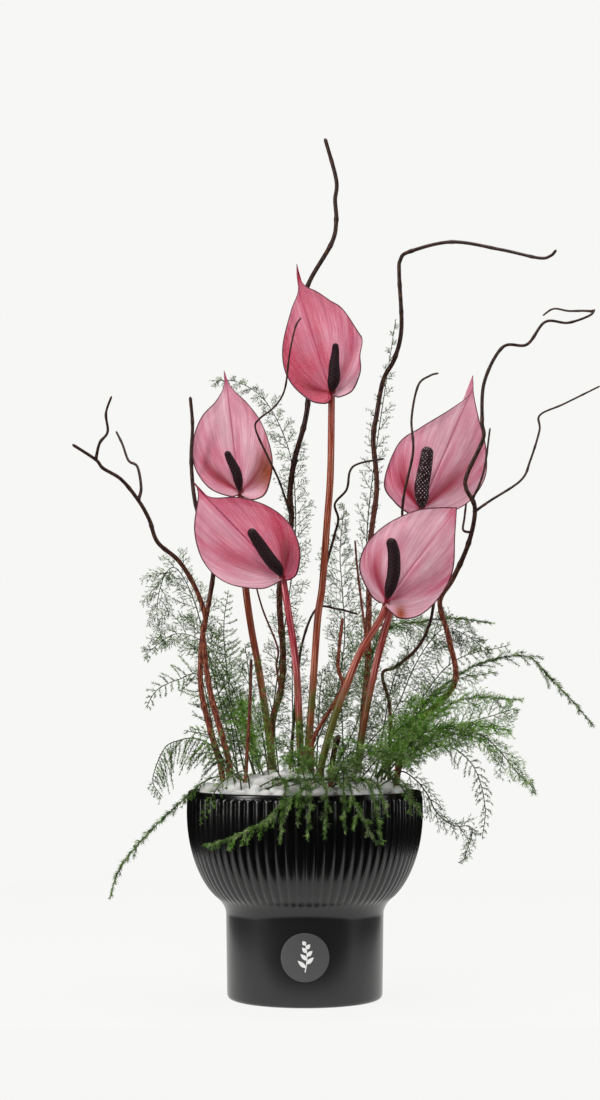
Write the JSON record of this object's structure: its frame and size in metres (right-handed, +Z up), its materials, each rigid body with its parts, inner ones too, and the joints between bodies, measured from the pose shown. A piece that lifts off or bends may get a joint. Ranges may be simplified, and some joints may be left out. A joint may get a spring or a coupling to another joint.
{
  "type": "anthurium in a vase",
  "caption": "Pink anthuriums with dark spadices, curly willow branches and asparagus fern, set in pebbles in a black ribbed bowl vase on a plain foot.",
  "frame": {"origin": "centre of the flat underside of the vase's foot", "axes": "+Z up along the vase's axis, flowers and label face -Y, +X to the right as seen from the front"},
  "size_m": [0.4562, 0.2644, 0.7484],
  "materials": {
    "glaze": "black satin glaze",
    "label_film": "printed grey film",
    "foam": "dry green floral foam",
    "white_stone": "smooth tumbled white pebbles",
    "red_stem": "living flower stem, semi-gloss red brown",
    "pink_spathe": "waxy pink flower blade",
    "dark_spadix": "near-black maroon flower spike",
    "willow_bark": "red-brown willow bark",
    "fern_green": "feathery green fern foliage"
  },
  "bodies": {
    "root": {"vase": "glaze", "round_label": "label_film", "floral_foam": "foam", "pebble_bed": "white_stone", "stem_top": "red_stem", "spathe_top": "pink_spathe", "spadix_top": "dark_spadix", "stem_upper_left": "red_stem", "spathe_upper_left": "pink_spathe", "spadix_upper_left": "dark_spadix", "stem_lower_left": "red_stem", "spathe_lower_left": "pink_spathe", "spadix_lower_left": "dark_spadix", "stem_upper_right": "red_stem", "spathe_upper_right": "pink_spathe", "spadix_upper_right": "dark_spadix", "stem_lower_right": "red_stem", "spathe_lower_right": "pink_spathe", "spadix_lower_right": "dark_spadix", "willow_centre": "willow_bark", "willow_right_tall": "willow_bark", "willow_left_forked": "willow_bark", "willow_left_upright": "willow_bark", "willow_right_forked": "willow_bark", "willow_wavy_right": "willow_bark", "willow_thin_centre": "willow_bark", "willow_short_red": "willow_bark", "willow_dark_stub": "willow_bark", "willow_left_stub": "willow_bark", "willow_low_twig": "willow_bark", "fern_right_bright": "fern_green", "fern_right_low": "fern_green", "fern_right_hanging": "fern_green", "fern_right_drape": "fern_green", "fern_right_far": "fern_green", "fern_right_level": "fern_green", "fern_right_back": "fern_green", "fern_centre": "fern_green", "fern_upper_thin": "fern_green", "fern_upper_left": "fern_green", "fern_left_upper": "fern_green", "fern_left_middle": "fern_green", "fern_left_bright": "fern_green", "fern_left_comb": "fern_green", "fern_left_arch": "fern_green", "fern_left_low": "fern_green", "fern_left_drape": "fern_green", "fern_front_left": "fern_green", "fern_front_right": "fern_green", "fern_rim_right": "fern_green", "fern_back_left": "fern_green", "fern_back_right": "fern_green"}
  },
  "joints": []
}
